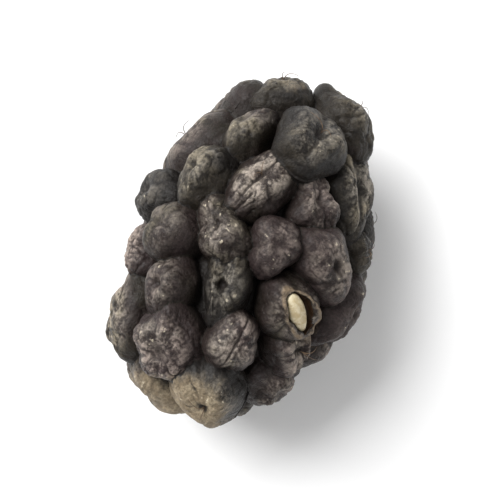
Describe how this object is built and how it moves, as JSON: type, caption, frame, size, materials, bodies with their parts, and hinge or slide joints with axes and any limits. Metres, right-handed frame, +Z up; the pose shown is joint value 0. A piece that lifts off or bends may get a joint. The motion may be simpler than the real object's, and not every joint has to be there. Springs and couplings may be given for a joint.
{
  "type": "dried mulberry",
  "caption": "Single dried black mulberry, an oval cluster of shrunken drupelets with its stalk stub and one bare seed, lying on its flattened side.",
  "frame": {"origin": "on the surface that the berry rests on, under the middle of its box", "axes": "+X along the berry from the stalk end to the tip, +Z up, +Y to the left of the tip seen from above"},
  "size_m": [0.019, 0.013, 0.0114],
  "materials": {
    "fruit_skin": "dry wrinkled skin, dull with a faint waxy sheen",
    "stalk": "dry and fibrous",
    "seed": "smooth hard husk"
  },
  "bodies": {
    "root": {"fruit": "fruit_skin", "stalk": "stalk", "seed": "seed"}
  },
  "joints": []
}
